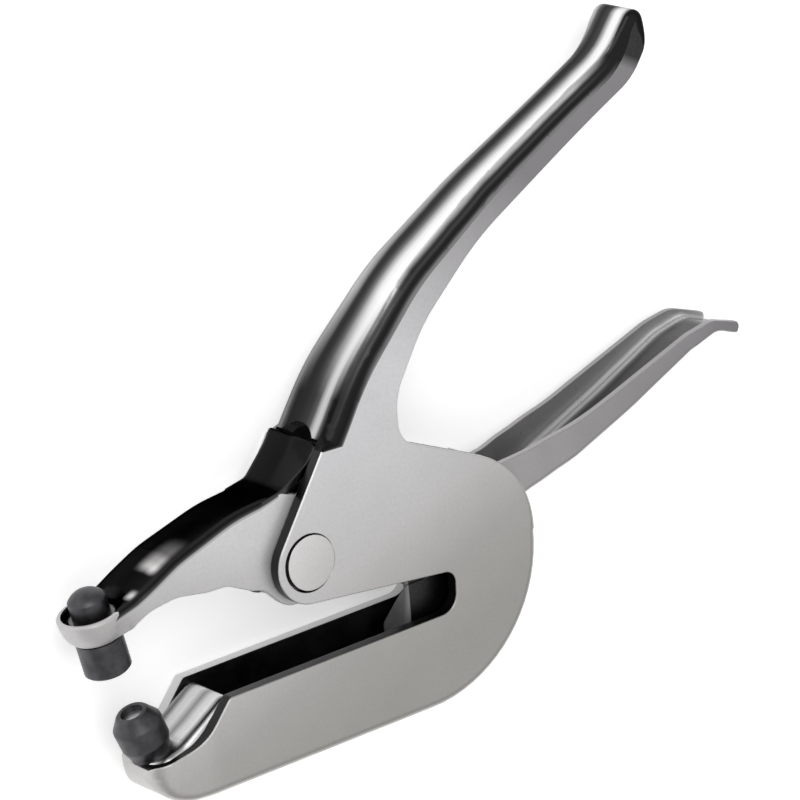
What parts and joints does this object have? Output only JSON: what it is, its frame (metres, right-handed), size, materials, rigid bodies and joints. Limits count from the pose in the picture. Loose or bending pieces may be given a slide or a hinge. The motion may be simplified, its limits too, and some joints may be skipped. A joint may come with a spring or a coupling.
{
  "type": "hole punch plier",
  "caption": "Folded-steel hole punch plier: C-shaped frame with fixed handle, hinged jaw with a punch tube over a die, and a sprung handle lever that closes the jaw.",
  "frame": {"origin": "the jaw pivot's axis, on the outer face of the far side plate", "axes": "+X towards the rear of the tool along the lower jaw, +Y from the lower jaw towards the upper jaw, +Z across the tool's width"},
  "size_m": [0.193, 0.146, 0.0215],
  "materials": {
    "frame_satin_nickel": "satin nickel plated pressed steel",
    "saddle_chrome": "bright nickel plate",
    "die_gunmetal": "dark oxidised turned steel",
    "die_insert_steel": "turned steel",
    "clip_steel": "spring steel",
    "pin_steel": "satin turned steel",
    "washer_steel": "satin",
    "spring_wire": "drawn spring wire",
    "jaw_chrome": "bright dark chrome plate",
    "lever_nickel": "nickel plated pressed steel"
  },
  "bodies": {
    "frame": {"frame": "frame_satin_nickel", "anvil_saddle": "saddle_chrome", "lower_die_body": "die_gunmetal", "lower_die_insert": "die_insert_steel", "lower_die_clip": "clip_steel", "jaw_pivot_pin": "pin_steel", "jaw_thrust_washers": "washer_steel", "handle_pivot_pin": "pin_steel", "handle_pivot_spacers": "washer_steel", "spring_anchor_pin": "pin_steel", "return_spring": "spring_wire"},
    "jaw": {"jaw_lever": "jaw_chrome", "jaw_pivot_bush": "washer_steel", "upper_die_body": "die_gunmetal", "upper_die_washer": "washer_steel", "upper_die_nut": "die_gunmetal", "punch_tube": "die_insert_steel"},
    "handle": {"handle_lever": "lever_nickel", "handle_pivot_bush": "washer_steel", "drive_pin": "pin_steel"}
  },
  "joints": [
    {"name": "handle_hinge", "type": "hinge", "parent": "frame", "child": "handle", "pos_m": [0.02, 0.002, 0.01075], "axis": [0, 0, 1], "range_deg": [0, 27], "stiffness_Nm_per_rad": 0.5, "springref_deg": -17.19},
    {"name": "jaw_hinge", "type": "hinge", "parent": "frame", "child": "jaw", "pos_m": [0, 0, 0.01075], "axis": [0, 0, 1], "range_deg": [0, 13.5], "deforming": ["return_spring"]}
  ],
  "couplings": [
    {"joint": "jaw_hinge", "follows": "handle_hinge", "ratio": 0.5}
  ]
}
